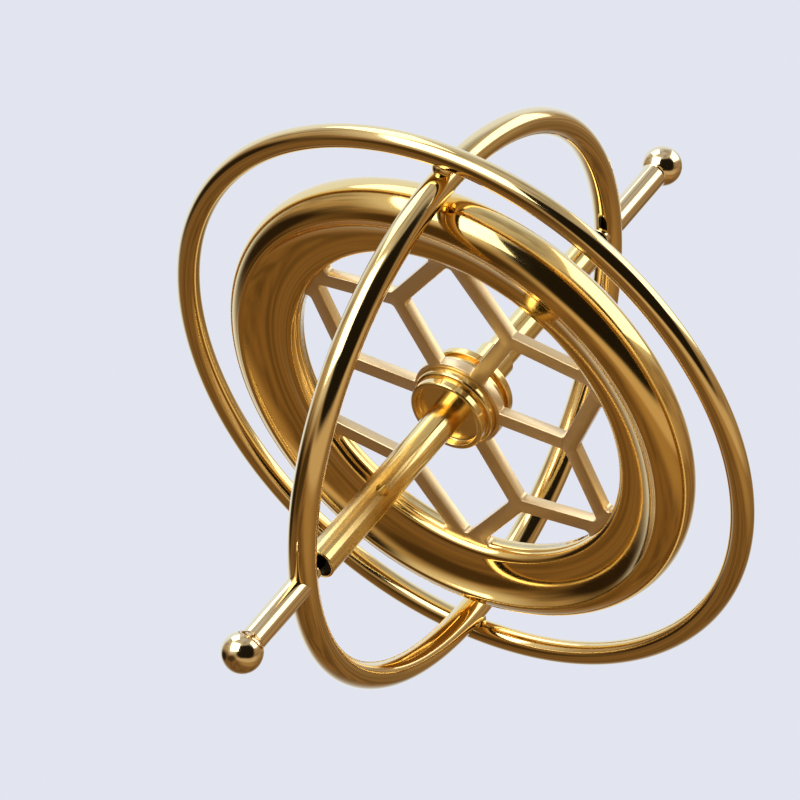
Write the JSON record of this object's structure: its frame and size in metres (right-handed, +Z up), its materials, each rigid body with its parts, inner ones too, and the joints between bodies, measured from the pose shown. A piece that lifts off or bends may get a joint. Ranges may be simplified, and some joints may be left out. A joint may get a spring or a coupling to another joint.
{
  "type": "toy gyroscope",
  "caption": "Demonstration gyroscope: a heavy spoked flywheel spins on an axle pivoted inside two crossed wire rings with ball tips, to be balanced on a stand, string or fingertip.",
  "frame": {"origin": "on the table, straight under the centre of the flywheel, with the gyroscope lying on its lower ball tip and both rings", "axes": "+Z up; the spin axis lies in the XZ plane and rises towards +X, to the upper tip; +Y completes the right-handed frame"},
  "size_m": [0.0692, 0.0684, 0.0547],
  "materials": {
    "ring_gold": "polished gold plate",
    "band_gold": "polished gold plate",
    "braze_gold": "plated over a smooth braze",
    "tip_gold": "polished gold plate",
    "axle_gold": "polished gold plate",
    "hub_gold": "polished gold plate with turned grooves",
    "web_gold": "gold plate, slightly satin",
    "rim_gold": "polished gold plate over turned metal",
    "bush_dark": "dark sintered bearing metal",
    "pivot_steel": "hardened and polished"
  },
  "bodies": {
    "cage": {"equatorial_ring": "ring_gold", "meridian_ring": "band_gold", "front_crossing_braze": "braze_gold", "rear_crossing_braze": "braze_gold", "upper_tip": "tip_gold", "lower_tip": "tip_gold", "upper_pivot_pin": "pivot_steel", "lower_pivot_pin": "pivot_steel"},
    "rotor": {"axle": "axle_gold", "upper_bearing_bush": "bush_dark", "lower_bearing_bush": "bush_dark", "hub": "hub_gold", "axle_collar": "axle_gold", "web": "web_gold", "lower_rim_half": "rim_gold", "upper_rim_half": "rim_gold"}
  },
  "joints": [
    {"name": "rotor_spin", "type": "hinge", "parent": "cage", "child": "rotor", "pos_m": [0, 0, 0.02733], "axis": [0.7903, 0, 0.6128], "continuous": true}
  ]
}
